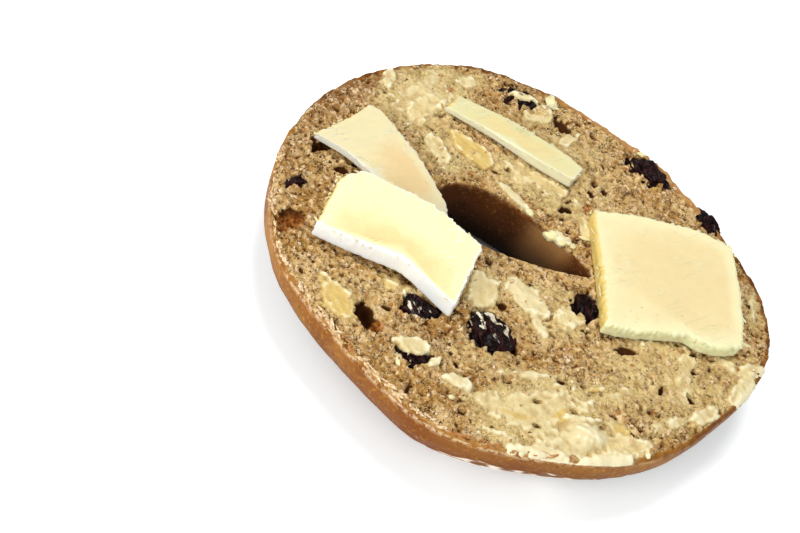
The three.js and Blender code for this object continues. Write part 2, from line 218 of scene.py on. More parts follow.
class Noise:
    """Smooth noise, about -1 to 1, in three dimensions."""

    def __init__(self, seed):
        rng = np.random.default_rng(seed)
        self.order = rng.permutation(256)
        self.slopes = unit(rng.normal(size=(256, 3)))

    def __call__(self, points, size):
        scaled = np.asarray(points, float) / size
        cell = np.floor(scaled).astype(int)
        inside = scaled - cell
        ease = inside**3 * (inside * (inside * 6 - 15) + 10)
        total = np.zeros(scaled.shape[:-1])
        for corner in itertools.product((0, 1), repeat=3):
            at = (cell + corner) & 255
            key = self.order[(self.order[at[..., 0]] + at[..., 1]) & 255]
            key = self.order[(key + at[..., 2]) & 255]
            slope = np.einsum("...i,...i->...", self.slopes[key], inside - corner)
            weight = np.prod(np.where(corner, ease, 1 - ease), axis=-1)
            total += weight * slope
        return 1.6 * total


# ---- A plan of the cut face, as arrays ----

CELL = 0.2
HALF = 64.0
ticks = np.arange(-HALF, HALF, CELL)
PLAN_X, PLAN_Y = np.meshgrid(ticks, ticks, indexing="ij")
PLAN = np.stack([PLAN_X, PLAN_Y, np.zeros_like(PLAN_X)], -1)


def sample(plan, x, y):
    """The plan's value at each place, between its cells."""
    u = np.clip((x + HALF) / CELL, 0, len(ticks) - 1.001)
    v = np.clip((y + HALF) / CELL, 0, len(ticks) - 1.001)
    i, j = u.astype(int), v.astype(int)
    u, v = u - i, v - j
    low = plan[i, j] * (1 - u) + plan[i + 1, j] * u
    high = plan[i, j + 1] * (1 - u) + plan[i + 1, j + 1] * u
    return low * (1 - v) + high * v


def window(x, y, long, wide, degrees, reach):
    """The plan round an oval: its cells, how far each is along and across the oval, and how far out.

    The oval's edge is 1 out. The window reaches to this many lengths from its middle.
    """
    low = [max(0, int((c - reach * long + HALF) / CELL)) for c in (x, y)]
    high = [int((c + reach * long + HALF) / CELL) + 2 for c in (x, y)]
    part = (slice(low[0], high[0]), slice(low[1], high[1]))
    dx, dy, turn = PLAN_X[part] - x, PLAN_Y[part] - y, math.radians(degrees)
    along, across = dx * math.cos(turn) + dy * math.sin(turn), dy * math.cos(turn) - dx * math.sin(turn)
    return part, along, across, 2 * np.hypot(along / long, across / wide)


def pores(seed, count, smallest, largest):
    """Depth of many small ragged holes."""
    rng = np.random.default_rng(seed)
    depth = np.zeros_like(PLAN_X)
    for _ in range(count):
        x, y = rng.uniform(-57, 57, 2)
        radius = smallest * (largest / smallest) ** (rng.random() ** 2.2)
        stretch, turn, steep = rng.uniform(1, 2.2), rng.uniform(0, 180), rng.uniform(0.7, 1.5)
        part, _, _, far = window(x, y, 2 * radius * stretch, 2 * radius, turn, 0.5)
        inside = np.clip(1 - far**2 - RAGGED[part], 0, 1)
        depth[part] = np.maximum(depth[part], steep * radius * inside**0.6)
    return depth


def blurred(plan, reach):
    """The mean over a square that goes this far each way."""
    cells = round(reach / CELL)
    for axis in (0, 1):
        total = np.cumsum(plan, axis=axis)
        plan = (np.roll(total, -cells, axis) - np.roll(total, cells, axis)) / (2 * cells)
    return plan


def crumb_plan():
    """Height of the torn crumb above the level of the cut, without its holes."""
    grain = Noise(11)
    swell = 0.26 * grain(PLAN, 5.5) + 0.14 * grain(PLAN + 7, 2.8)
    clods = 0.50 * np.abs(grain(PLAN + 31, 2.6)) + 0.40 * np.abs(grain(PLAN + 57, 1.35))
    crests = -0.30 * np.abs(grain(PLAN + 71, 1.9)) - 0.18 * np.abs(grain(PLAN + 91, 0.9))
    torn = smooth(0.75 + 1.6 * grain(PLAN + 111, 6.0))
    crevices = smooth(1 - np.abs(grain(PLAN + 131, 2.4) + 0.3 * grain(PLAN + 151, 0.8)) / 0.17)
    return swell + clods + crests - 0.45 * torn * crevices + 0.10 * grain(PLAN + 13, 0.6) - 0.08


def hole_plan():
    """Depth of the large holes and of the pockets of the raisins, below zero where crumb hides a raisin."""
    depth = np.zeros_like(PLAN_X)
    torn = Noise(15)(PLAN, 2.4) + 0.5 * Noise(16)(PLAN, 1.0)
    for x, y, long, wide, turn, deep in CAVITIES:
        part, _, _, far = window(x, y, long, wide, turn, 1.0)
        far = far + 1.3 * RAGGED[part] * min(1, long / 2)
        depth[part] = np.maximum(depth[part], deep * smooth((1.2 - far) / 0.6) ** 0.7)
    for x, y, long, wide, _, turn, _, _, hidden in FACE_RAISINS:
        part, _, _, far = window(x, y, long, wide, turn, 1.0)
        lip = smooth((torn[part] + 1.5 * hidden - 0.55) / 0.25) * smooth((far - 1.0 + 0.75 * hidden) / 0.2)
        pocket = POCKET * smooth((1.12 - far - 0.3 * RAGGED[part]) / 0.2)
        depth[part] = np.where(far < 1.35, np.maximum(depth[part], pocket) * (1 - lip), depth[part])
        depth[part] -= 0.75 * lip * smooth((1.3 - far) / 0.3)
    return depth


def butter_plan():
    """Height of the spread butter above the level of the cut, and how yellow it is."""
    edge = Noise(17)
    broad, fine = 0.5 * edge(PLAN, 5.0) + 0.3 * edge(PLAN + 19, 2.2), 0.35 * edge(PLAN + 37, 0.9)
    mottle = 0.22 * edge(PLAN + 53, 2.4) + 0.12 * edge(PLAN + 71, 0.9)
    top, yellow = np.full_like(PLAN_X, BARE), np.zeros_like(PLAN_X)
    for index, (x, y, long, wide, turn, thick, soft, tint) in enumerate(SPREADS):
        part, along, across, far = window(x, y, long, wide, turn, 0.8)
        streaks = Noise(100 + index)(np.stack([along / 5, across, 0 * along], -1), 1.5)
        rag = (0.45 + 0.45 * soft) * (0.3 if thick > 1.5 else 1)
        far = far + rag * (broad[part] + fine[part])
        cover = smooth((1.12 - far) / soft)
        lip = 0.12 * smooth(1 - np.abs(far - 1.06 + soft) / 0.22) * (thick > 0.3)
        height = BARE + (thick - BARE) * cover + (0.22 * streaks + mottle[part]) * cover + lip
        higher = height > top[part]
        top[part] = np.where(higher, height, top[part])
        yellow[part] = np.where(higher, tint, yellow[part])
    return top, yellow


def spots(places, softness):
    """1 in each of the places, given as x, y, length, width, turn, amount, fading out round them."""
    plan = np.zeros_like(PLAN_X)
    for x, y, long, wide, turn, amount in places:
        part, _, _, far = window(x, y, long, wide, turn, 0.8)
        inside = smooth((1.2 - far - 0.5 * RAGGED[part]) / softness)
        plan[part] = np.maximum(plan[part], amount * inside)
    return plan


RAGGED = 0.30 * Noise(13)(PLAN, 1.5) + 0.24 * Noise(14)(PLAN, 0.7)
PINHOLES = pores(21, 9000, 0.2, 0.5)
PORES = pores(22, 520, 0.4, 0.95)
HOLES = hole_plan()
FILM = spots([*FILMS, *((x, y, 1.3 * a, 1.4 * b, t, 0.6) for x, y, a, b, t, *_ in SPREADS)], 0.6)
COARSE = spots(COARSE_PARTS, 0.9)
CRUMB = crumb_plan() * (1.15 - 0.3 * FILM + 0.6 * COARSE) - PINHOLES - PORES
# How far the crumb stands above its surroundings, which sets painted light on its crests and painted shade
# in its hollows.
RELIEF = CRUMB - blurred(CRUMB, 0.9)
BUTTER, YELLOW = butter_plan()
# Butter bridges the pinholes, but the larger holes stay open where it is thin.
BUTTER -= 1.4 * np.maximum(PORES * (BUTTER < 0.0), HOLES * (BUTTER < 0.8))
STAIN = spots([(x, y, 2 * reach, 1.5 * reach, 60, 1.0) for x, y, reach in STAINS], 0.5)

# ---- Meshes from rings of points ----


def zip_rings(lower, upper, first_lower, first_upper):
    """Triangles between two closed rings, given how far round each point is, from 0 to 1."""
    ends = np.concatenate([np.append(lower[1:], 1.0), np.append(upper[1:], 1.0)])
    on_upper = np.repeat([False, True], [len(lower), len(upper)])
    order = np.lexsort((on_upper, ends))
    on_upper = on_upper[order]
    i, j = np.cumsum(~on_upper) - ~on_upper, np.cumsum(on_upper) - on_upper
    third = np.where(on_upper, j + 1, i + 1)
    low = first_lower + i % len(lower)
    up = first_upper + j % len(upper)
    new = np.where(on_upper, first_upper + third % len(upper), first_lower + third % len(lower))
    faces = np.stack([low, new, up], -1)
    keep = np.where(on_upper, len(upper) > 1, len(lower) > 1)
    return faces[keep]


def loft(rings, closed):
    """Faces over rings, each an array of how far round its points are."""
    first = np.concatenate([[0], np.cumsum([len(ring) for ring in rings])])
    pairs = [(i, i + 1) for i in range(len(rings) - 1)]
    if closed:
        pairs.append((len(rings) - 1, 0))
    return np.concatenate([zip_rings(rings[i], rings[j], first[i], first[j]) for i, j in pairs])


def normals_of(points, faces):
    a, b, c = (points[faces[:, k]] for k in range(3))
    across = np.cross(b - a, c - a)
    total = np.zeros_like(points)
    for k in range(3):
        np.add.at(total, faces[:, k], across)
    return unit(total)


def add_object(name, data):
    thing = bpy.data.objects.new(name, data)
    bpy.context.scene.collection.objects.link(thing)
    return thing


def make_piece(name, points, faces, material, attributes, replaces=()):
    """A smooth-shaded piece from points in millimetres, in the plan of the cut face."""
    mesh = bpy.data.meshes.new(name)
    mesh.from_pydata(((points + ORIGIN) * MM).tolist(), [], faces.tolist())
    for key, values in attributes.items():
        layer = mesh.attributes.new(key, "FLOAT", "POINT")
        layer.data.foreach_set("value", np.asarray(values, np.float32))
    mesh.polygons.foreach_set("use_smooth", np.ones(len(mesh.polygons), bool))
    mesh.materials.append(material)
    mesh.update()
    piece = add_object(name, mesh)
    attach(piece, "root")
    if replaces:
        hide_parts(*replaces)


# ---- Materials ----


def linear(red, green, blue):
    """A colour as seen on screen, 0 to 255, as the light that a shader works in."""
    parts = [c / 255 for c in (red, green, blue)]
    parts = [c / 12.92 if c <= 0.04045 else ((c + 0.055) / 1.055) ** 2.4 for c in parts]
    return (*parts, 1.0)


class Shader:
    """A material under construction."""

    def __init__(self, name):
        self.material = bpy.data.materials.new(name)
        self.material.use_nodes = True
        self.tree = self.material.node_tree
        self.tree.nodes.clear()
        self.surface = self.node("ShaderNodeBsdfPrincipled")
        output = self.node("ShaderNodeOutputMaterial")
        self.tree.links.new(self.surface.outputs[0], output.inputs["Surface"])
        place = self.node("ShaderNodeTexCoord").outputs["Object"]
        inputs = {"Vector": place, "Scale": 1 / MM}
        self.place = self.node("ShaderNodeVectorMath", inputs, operation="SCALE").outputs[0]

    def node(self, kind, inputs=None, **settings):
        node = self.tree.nodes.new(kind)
        for key, value in settings.items():
            setattr(node, key, value)
        for key, value in (inputs or {}).items():
            self.put(node.inputs[key], value)
        return node

    def put(self, socket, value):
        if isinstance(value, bpy.types.NodeSocket):
            self.tree.links.new(value, socket)
        else:
            socket.default_value = value

    def noise(self, size, detail=3.0, roughness=0.55, stretch=None, turn=0.0):
        """Noise from 0 to 1, with features of about this size in millimetres."""
        vector = self.place
        if stretch:
            spin = (0, 0, math.radians(turn))
            inputs = {"Vector": self.place, "Rotation": spin, "Scale": [1 / s for s in stretch]}
            vector = self.node("ShaderNodeMapping", inputs, vector_type="TEXTURE").outputs[0]
        inputs = {"Vector": vector, "Scale": 1 / size, "Detail": detail, "Roughness": roughness}
        return self.node("ShaderNodeTexNoise", inputs).outputs["Fac"]

    def ridge(self, size, detail=3.0, roughness=0.6, stretch=None, turn=0.0):
        """0 on the crests of a noise, and up to 1 away from them."""
        away = self.plus(self.noise(size, detail, roughness, stretch, turn), -0.5)
        return self.times(self.math("ABSOLUTE", away), 4.0)

    def attribute(self, name):
        return self.node("ShaderNodeAttribute", attribute_name=name).outputs["Fac"]

    def math(self, operation, a, b=0.0):
        return self.node("ShaderNodeMath", {0: a, 1: b}, operation=operation).outputs[0]

    def times(self, a, b):
        return self.math("MULTIPLY", a, b)

    def plus(self, a, b):
        return self.math("ADD", a, b)

    def fade(self, value, low, high):
        """0 where the value is under low, 1 where it is over high, smooth between them."""
        inputs = {"Value": value, "From Min": low, "From Max": high}
        return self.node("ShaderNodeMapRange", inputs, interpolation_type="SMOOTHSTEP").outputs[0]

    def mix(self, factor, *colours):
        """One colour where the factor is 0, another where it is 1. Plain ones are red, green and blue."""
        one, other = (linear(*c) if isinstance(c, tuple) else c for c in colours)
        # In this node the colours are the inputs 6 and 7 and the output 2.
        return self.node("ShaderNodeMix", {0: factor, 6: one, 7: other}, data_type="RGBA").outputs[2]

    def paint(self, base, *layers):
        """The base under layers, each where it lies, how strong it is, and its red, green and blue."""
        for where, strength, *colour in layers:
            base = self.mix(self.times(where, strength), base, tuple(colour))
        return base

    def bump(self, height, strength, distance):
        inputs = {"Height": height, "Strength": strength, "Distance": distance * MM}
        normal = self.surface.inputs["Normal"]
        if normal.is_linked:
            inputs["Normal"] = normal.links[0].from_socket
        self.put(normal, self.node("ShaderNodeBump", inputs).outputs[0])

    def set(self, **values):
        for key, value in values.items():
            self.put(self.surface.inputs[key.replace("_", " ")], value)


def bread_material():
    shader = Shader("bread")
    attribute, fade, noise, plus, times = (
        shader.attribute, shader.fade, shader.noise, shader.plus, shader.times
    )
    crust, stain = attribute("crust"), attribute("stain")

    # Crumb: tan, in patches, with butter that it has soaked up.
    tone, hue = noise(8, 3, 0.6), noise(2.6, 3, 0.6)
    crumb = shader.mix(fade(tone, 0.38, 0.62), (184, 141, 78), (216, 180, 118))
    crumb = shader.paint(
        crumb, (fade(hue, 0.56, 0.68), 0.5, 180, 118, 54), (attribute("toast"), 0.85, 140, 90, 44)
    )
    smear = fade(plus(attribute("film"), times(noise(1.6, 4, 0.7), 1.2)), 0.85, 1.35)
    greasy = shader.mix(fade(noise(3.5, 3, 0.6), 0.4, 0.6), (204, 180, 120), (235, 213, 148))
    crumb = shader.mix(times(smear, 0.8), crumb, greasy)

    # Pale grains, painted light on the crests and brown painted shade in the hollows, short dark cracks and
    # pinholes that are painted shade, weaker under the butter.
    rough = plus(1.0, times(smear, -0.5))
    relief_shading, grain = attribute("relief_shading"), noise(1.1, 4, 0.62)
    clump = noise(3.2, 4, 0.65, stretch=(1.0, 0.6, 1.0), turn=30)
    # Short dark cracks, painted shade.
    crack_shade = times(fade(shader.ridge(1.2, 3, 0.7), 0.13, 0.05), fade(noise(2.2, 2), 0.46, 0.56))
    for where, *layer in (
        (fade(relief_shading, 0.05, 0.35), 0.6, 240, 212, 164),
        (fade(relief_shading, -0.04, -0.34), 0.95, 98, 58, 26),
        (fade(clump, 0.54, 0.66), 0.4, 236, 208, 162),
        (fade(clump, 0.46, 0.34), 0.4, 122, 80, 42),
        (fade(grain, 0.54, 0.62), 0.7, 250, 224, 180),
        (fade(grain, 0.46, 0.36), 0.7, 108, 66, 30),
        (crack_shade, 1.0, 60, 32, 14),
    ):
        crumb = shader.paint(crumb, (times(where, rough), *layer))
    # Pinholes of two sizes, painted shade.
    for size in (0.8, 1.8):
        pinhole_shade = times(fade(noise(size, 2, 0.6), 0.63, 0.67), fade(noise(5, 3, 0.6), 0.45, 0.58))
        crumb = shader.paint(crumb, (pinhole_shade, 0.95, 62, 38, 22))
    # Painted shade in pores and large holes, darker the deeper they are.
    crumb = shader.paint(crumb, (fade(attribute("pit_shade"), 0.45, 1.0), 1.0, 70, 38, 15))
    sticky = shader.mix(fade(grain, 0.4, 0.58), (104, 48, 16), (186, 118, 50))
    crumb = shader.mix(times(stain, 0.75), crumb, sticky)

    # Crust: golden brown, with specks, pale flecks and a torn rim; painted shade makes it darker towards the
    # base and darker and redder on the near side.
    skin = shader.mix(fade(noise(9, 4, 0.6), 0.35, 0.65), (138, 82, 26), (170, 116, 46))
    mottle = noise(0.8, 4, 0.65)
    skin = shader.paint(
        skin,
        (fade(attribute("down"), 0.0, 0.48), 1.0, 92, 52, 22),
        (attribute("ruddy_shade"), 0.6, 112, 56, 24),
        (fade(mottle, 0.54, 0.66), 0.35, 212, 160, 56),
        (fade(mottle, 0.46, 0.34), 0.5, 136, 78, 32),
        (fade(noise(1.1, 1, 0.5), 0.69, 0.74), 0.85, 84, 44, 18),
        (times(fade(noise(1.2, 3, 0.7), 0.42, 0.54), attribute("lip")), 0.75, 242, 216, 172),
        (attribute("fair"), 0.8, 204, 154, 94),
        (attribute("creased"), 0.5, 122, 74, 40),
        (fade(attribute("crease"), 0.5, 0.9), 0.8, 252, 240, 226),
        (times(fade(noise(1.6, 4, 0.7), 0.42, 0.56), attribute("edge")), 0.75, 84, 42, 16),
    )
    # The hole's wall: crust darker than outside, partly its own colour and partly painted shade, and near
    # black deep down, which is painted shade.
    wall = shader.mix(fade(noise(3.5, 3, 0.5), 0.35, 0.65), (92, 40, 10), (130, 66, 22))
    wall = shader.paint(wall, (fade(attribute("high"), 0.95, 0.5), 1.0, 14, 2, 0))
    skin = shader.mix(attribute("wall"), skin, wall)

    shader.set(
        Base_Color=shader.mix(crust, crumb, skin),
        Roughness=plus(plus(0.95, times(crust, -0.40)), times(stain, -0.7)),
        Specular_IOR_Level=0.12, Specular_Tint=(1.0, 0.78, 0.5, 1.0),
    )
    shader.bump(times(noise(0.45, 3, 0.7), plus(1.0, times(crust, -0.75))), 1.0, 0.35)
    return shader.material


def butter_material(name, pale, warm, side, thin_and_shaded, depth, weight, lumpy):
    """Colours of its pale and warm parts, of its sides, which also give painted light, and of its thinner
    parts, which also give painted shade; depth and share of light in it; bumps.
    """
    shader = Shader(name)
    attribute, fade, noise, plus, times = (
        shader.attribute, shader.fade, shader.noise, shader.plus, shader.times
    )
    uneven = times(plus(noise(4, 4, 0.6), -0.5), 0.8)
    colour = shader.mix(fade(plus(attribute("warm"), uneven), 0.0, 1.0), pale, warm)
    colour = shader.mix(attribute("side"), colour, side)
    patchy = times(plus(noise(1.2, 3, 0.7), -0.5), 1.6)
    thin_and_shaded_amount = fade(plus(attribute("thin_and_shaded"), patchy), 0.1, 1.2)
    colour = shader.mix(times(thin_and_shaded_amount, attribute("thin_and_shaded")), colour, thin_and_shaded)
    # Painted light and shade: the butter's raised parts are paler and its hollows more tan.
    swell = plus(attribute("swell"), times(patchy, 0.15))
    colour = shader.mix(times(fade(swell, 0.02, 0.35), 0.85), colour, side)
    colour = shader.mix(times(fade(swell, -0.02, -0.3), 0.7), colour, thin_and_shaded)
    strokes = times(fade(shader.ridge(2.4, 2, 0.5, (0.14, 1.0, 1.0), 55), 0.12, 0.0), attribute("knife"))
    strokes = times(strokes, fade(noise(9, 2), 0.5, 0.6))
    shader.set(
        Base_Color=shader.mix(times(strokes, 0.4), colour, side), Roughness=0.4, Specular_IOR_Level=0.35,
        Subsurface_Weight=weight, Subsurface_Scale=depth * MM, Subsurface_Radius=(1.0, 0.75, 0.35),
    )
    shader.bump(noise(1.4, 4, 0.6), lumpy, 0.3)
    shader.bump(strokes, 0.6, 0.14)
    return shader.material


def raisin_material():
    shader = Shader("raisin")
    skin = shader.mix(shader.fade(shader.noise(1.5, 3), 0.35, 0.65), (14, 3, 4), (44, 13, 14))
    streak = shader.noise(2.0, 4, 0.6, stretch=(0.35, 1.0, 1.0), turn=-37)
    smear = shader.fade(shader.plus(shader.attribute("smear"), streak), 1.0, 1.06)
    # The skin is darker in the valleys between its folds, painted shade, with butter smeared on it in
    # streaks.
    shader.set(
        Base_Color=shader.paint(
            skin, (shader.fade(shader.attribute("fold"), 0.5, 0.0), 1, 8, 2, 3), (smear, 1, 236, 226, 200)
        ),
        Roughness=0.22, Specular_IOR_Level=0.14, Specular_Tint=(1.0, 0.82, 0.8, 1.0),
    )
    shader.bump(shader.noise(0.35, 4, 0.6), 0.5, 0.15)
    return shader.material


# ---- The bread ----


def ring_of(zone, share):
    """One ring of the bread: points, how far round, and where on the bread each point is."""
    c, s = math.cos(share * math.pi / 2), math.sin(share * math.pi / 2)

    def place(angle):
        inner, outer = hole(angle), rim(angle)
        length = np.linalg.norm(outer - inner, axis=-1)
        out = (outer - inner) / length[:, None]
        at_rim = THICK + warp(*outer.T) - RIM_ROUND - SHOULDER_DROP
        at_hole = THICK + warp(*inner.T) - RIM_ROUND
        if zone == FACE:
            along = share * length
        elif zone == CRUST:
            along, z = length - CURL * (1 - c) + BULGE * math.sin(math.pi * s), at_rim * (1 - s)
        elif zone == BASE:
            along, z = (length - CURL) * (1 - share) + FLARE * share, 0 * length
        else:
            along, z = FLARE * (1 - s) + 0 * length, at_hole * (1 - c)
        flat = inner + out * along[:, None]
        if zone == FACE:
            near = np.minimum(along, length - along)
            drop = RIM_ROUND * (1 - np.sqrt(1 - np.clip(1 - near / RIM_ROUND, 0, 1) ** 2))
            drop = drop + SHOULDER_DROP * smooth(1 - (length - along) / SHOULDER) ** 2
            z = THICK + warp(*flat.T) - drop
        return np.column_stack([flat, z]), along, length, out, outer

    fine = np.linspace(0, 2 * math.pi, 2049)
    walked, at = evenly(place(fine)[0], SPACING[zone], 24)
    angle, count = np.interp(at, walked, fine), len(at)
    points, along, length, out, outer = place(angle)
    arc = share * CRUST_LENGTH * (zone == CRUST)
    return points, angle / (2 * math.pi), {
        "zone": np.full(count, zone), "share": np.full(count, share), "arc": np.full(count, arc),
        "unrolled": outer + out * arc if zone == CRUST else points[:, :2],
        "from_rim": (length - along) * (zone == FACE), "from_hole": along * (zone == FACE),
    }


def bread_rings():
    for zone, count in enumerate(RINGS):
        for i in range(zone != FACE, count + (zone != WALL)):
            share = i / count
            if zone == FACE:  # closer together towards both edges
                share -= 0.02 * math.sin(2 * math.pi * share)
            yield ring_of(zone, share)


rings = list(bread_rings())
FACES = loft([ring[1] for ring in rings], closed=True)[:, ::-1]
POINTS = np.concatenate([ring[0] for ring in rings])
WHERE = {key: np.concatenate([ring[2][key] for ring in rings]) for key in rings[0][2]}
NORMALS = normals_of(POINTS, FACES)


def make_bread():
    x, y = POINTS[:, 0], POINTS[:, 1]
    zone, arc, share, from_rim = WHERE["zone"], WHERE["arc"], WHERE["share"], WHERE["from_rim"]
    on_face, on_crust = zone == FACE, zone == CRUST
    angle = np.arctan2(y, x)
    near_edge = np.minimum(from_rim, WHERE["from_hole"])
    crumb = np.where(on_face, smooth(near_edge), 0.0)
    height, holes = sample(CRUMB, x, y), sample(HOLES, x, y)

    # The crust is smooth dough, with lumps, and with creases low down on the near side.
    skin = Noise(31)
    bumps = 0.30 * skin(POINTS, 14) + 0.14 * skin(POINTS + 40, 5) + 0.05 * skin(POINTS + 80, 1.6)
    crest = smooth(1 - np.abs(skin(np.column_stack([angle * RADIUS / 7, arc, 0 * x]), 1.7)) * 3.2)
    creased = smooth(1.3 - np.abs(angle - CREASES_AT) / CREASES_REACH) * on_crust
    crease = crest * creased * smooth((arc - 3) / 4) * smooth((26 - arc) / 5)
    bumps = bumps + 0.45 * crease

    ragged = 0.26 * skin(POINTS + 9, 3.0) + 0.18 * skin(POINTS + 23, 1.0)
    on_rim = smooth(1 - from_rim / 2.5) * on_face + smooth(1 - arc / 2.0) * on_crust
    lift = crumb * (height - holes) + (1 - crumb) * bumps * (zone != BASE) + on_rim * ragged
    points = POINTS + NORMALS * lift[:, None]
    points[:, 2] = np.maximum(points[:, 2], 0.0)

    def around(bearing, reach, full):
        """1 round about a bearing in degrees, fading to 0 on both sides."""
        return smooth(full - np.abs(np.degrees(angle) % 360 - bearing) / reach)

    far_side, near_side = around(76, 24, 1.6), around(256, 88, 1.25)
    browned = 0.9 + 0.6 * np.cos(angle - 1.0) + 0.5 * skin(POINTS + 61, 2.5) + 0.8 * far_side
    browned = np.where(WHERE["from_hole"] < from_rim, 0.35 + 0.3 * skin(POINTS + 61, 1.5), browned)
    make_piece("bread", points, FACES, bread_material(), {
        # depth of the pores and holes, for the painted shade in them
        "pit_shade": np.where(on_face, np.maximum(-height - 0.15, 0) + np.maximum(holes, 0), 0),
        "crust": np.where(on_face, 1 - smooth((near_edge - browned + 0.5) / 0.5), 1.0),
        # share of the way down the crust, for painted shade towards the base
        "down": np.where(on_crust, share, zone >= BASE),
        "wall": np.where(zone == WALL, smooth(1.1 - share) ** 0.5, (WHERE["from_hole"] < 0.6) * on_face),
        # how high up the hole's wall, which the painted shade deep in the hole follows
        "high": np.where(zone == WALL, share, 1.0),
        "toast": around(158, 38, 1) * smooth(1.3 - from_rim / 6.5) * on_face,
        # height over the crumb nearby, for painted light on crests and painted shade in hollows
        "film": sample(FILM, x, y) * on_face,
        "relief_shading": sample(RELIEF, x, y) * on_face,
        "stain": sample(STAIN, x, y) * on_face,
        "edge": smooth(1.5 - arc / 1.5) * (zone <= CRUST) * (1 - near_side) * (1 - 0.8 * far_side),
        # darker, redder crust on the near side, painted shade
        "ruddy_shade": around(275, 38, 1.4) * on_crust,
        "fair": far_side * smooth(1.2 - arc / 4),
        "lip": smooth(1.2 - arc / 1.6) * on_crust * near_side,
        "crease": crease,
        "creased": creased * smooth((arc - 2) / 6),
    }, ["bread_half"])


def border_of(faces):
    """The edges that only one triangle has, in its own direction."""
    edges = np.concatenate([faces[:, [0, 1]], faces[:, [1, 2]], faces[:, [2, 0]]])
    keys, reverse = edges @ (len(POINTS), 1), edges @ (1, len(POINTS))
    return edges[~np.isin(keys, reverse)]


def make_spread(material):
    """Butter spread on the face: the skin of the bread's surface where there is butter, as a closed slab."""
    x, y = WHERE["unrolled"].T
    zone, from_rim = WHERE["zone"], WHERE["from_rim"]
    top = sample(BUTTER, x, y)
    feather = 0.45 - 0.22 * WHERE["arc"] - 0.25 * smooth(1 - from_rim / 1.5)
    top = np.where(zone == CRUST, np.minimum(top, feather), top)
    top = np.where(zone <= CRUST, top, BARE)
    chosen = FACES[(top[FACES] > SPREAD_FROM).all(axis=1)]
    for _ in range(4):  # parts the patches that meet at one point
        starts, counts = np.unique(border_of(chosen)[:, 0], return_counts=True)
        chosen = chosen[~np.isin(chosen, starts[counts > 1]).any(axis=1)]
    used, faces = np.unique(chosen, return_inverse=True)
    faces = faces.reshape(-1, 3)
    points = np.concatenate([
        POINTS[used] + NORMALS[used] * top[used][:, None], POINTS[used] - NORMALS[used] * SPREAD_ROOT,
    ])
    a, b = border_of(faces).T
    count = len(used)
    sides = np.stack([b, a, a + count], -1), np.stack([b, a + count, b + count], -1)
    faces = np.concatenate([faces, faces[:, ::-1] + count, *sides])

    x, y, top, on_face = x[used], y[used], top[used], zone[used] == FACE
    thin_and_shaded = smooth(1 - (top - sample(blurred(CRUMB, 0.5), x, y)) / 0.7)
    over_edge = smooth(1.4 - np.minimum(from_rim, WHERE["from_hole"])[used] / 1.2)
    over_edge = np.where(on_face, over_edge, 1.0)
    buttered = BUTTER > SPREAD_FROM
    nearby = blurred(BUTTER * buttered, 1.4) / np.maximum(blurred(1.0 * buttered, 1.4), 1e-3)
    attributes = {
        "warm": sample(YELLOW, x, y), "thin_and_shaded": thin_and_shaded * (1 - over_edge), "side": 0.6 * over_edge,
        # height over the butter nearby, for painted light on swells and painted shade in hollows
        "swell": np.where(on_face, top - sample(nearby, x, y), 0.0),
    }
    attributes = {key: np.tile(values, 2) for key, values in attributes.items()}
    make_piece("butter_spread", points, faces, material, attributes)


# ---- Slices of butter ----

# Name, corners seen from above counter-clockwise, thickness at the -X end and at the +X end, rise of
# its middle off the cut, tilt, rounding of its top edge, middle and reach of its warmer part.
SLICES = (
    ("left",
     ((-50.6, 0), (-42.6, -0.2), (-38.6, -1.2), (-33, -3.4), (-21, -11.6), (-16.6, -10),
      (-18.1, -1.5), (-24, 4.3), (-29, 8.4), (-41.8, 15.6), (-44.9, 15.4), (-47.4, 7)),
     (1.5, 2.4), 0.2, 0.0, 0.3, (-29, 4), (12, 12)),
    ("front",
     ((-39.3, -24), (-30, -23), (-19.6, -21.4), (-7.1, -24.8),
      (-8.5, -10), (-21, -7.1), (-36.6, -8.4), (-40.4, -12.2)),
     (4.0, 4.0), 2.0, 13.0, 0.3, (-24, -22), (20, 9)),
    ("back",
     ((-31.2, 27), (-20, 26.8), (-8, 25.5), (0.6, 25.4),
      (1.3, 29.7), (-2.7, 31.4), (-16, 33.2), (-30.4, 32.2)),
     (1.2, 2.7), 0.2, 0.0, 0.4, (-14, 29), (14, 5)),
    ("right",
     ((6.8, 19.6), (20.3, -7.8), (25.3, -5.7), (36.6, 1.8), (39.5, 1.2), (44.3, 3.2), (47.6, 6.6),
      (46.3, 12), (41.9, 22.7), (37.2, 31.6), (28.8, 31.2), (15.1, 25.4)),
     (3.1, 3.1), 0.2, 0.0, 0.9, (31, 15), (24, 22)),
)
# Colour of each slice's margin, middle and cut sides; the slices differ partly in their own tint and partly
# by painted light and shade, as in the darker back slice.
SLICE_COLOURS = {
    "left": ((232, 220, 174), (230, 203, 149), (222, 223, 212)),
    "front": ((245, 235, 178), (235, 206, 138), (250, 255, 250)),
    "back": ((224, 217, 164), (229, 211, 150), (232, 230, 200)),
    "right": ((243, 231, 182), (234, 214, 160), (232, 233, 186)),
}
CORNER = 0.5  # about how far the rounding of an outline's corner reaches
SLICE_STEP = 0.34
# Turns places to the strokes of the knife, and draws noise out along them.
KNIFE = np.array([[0.57 * 0.3, -0.82, 0.0], [0.82 * 0.3, 0.57, 0.0], [0.0, 0.0, 1.0]])


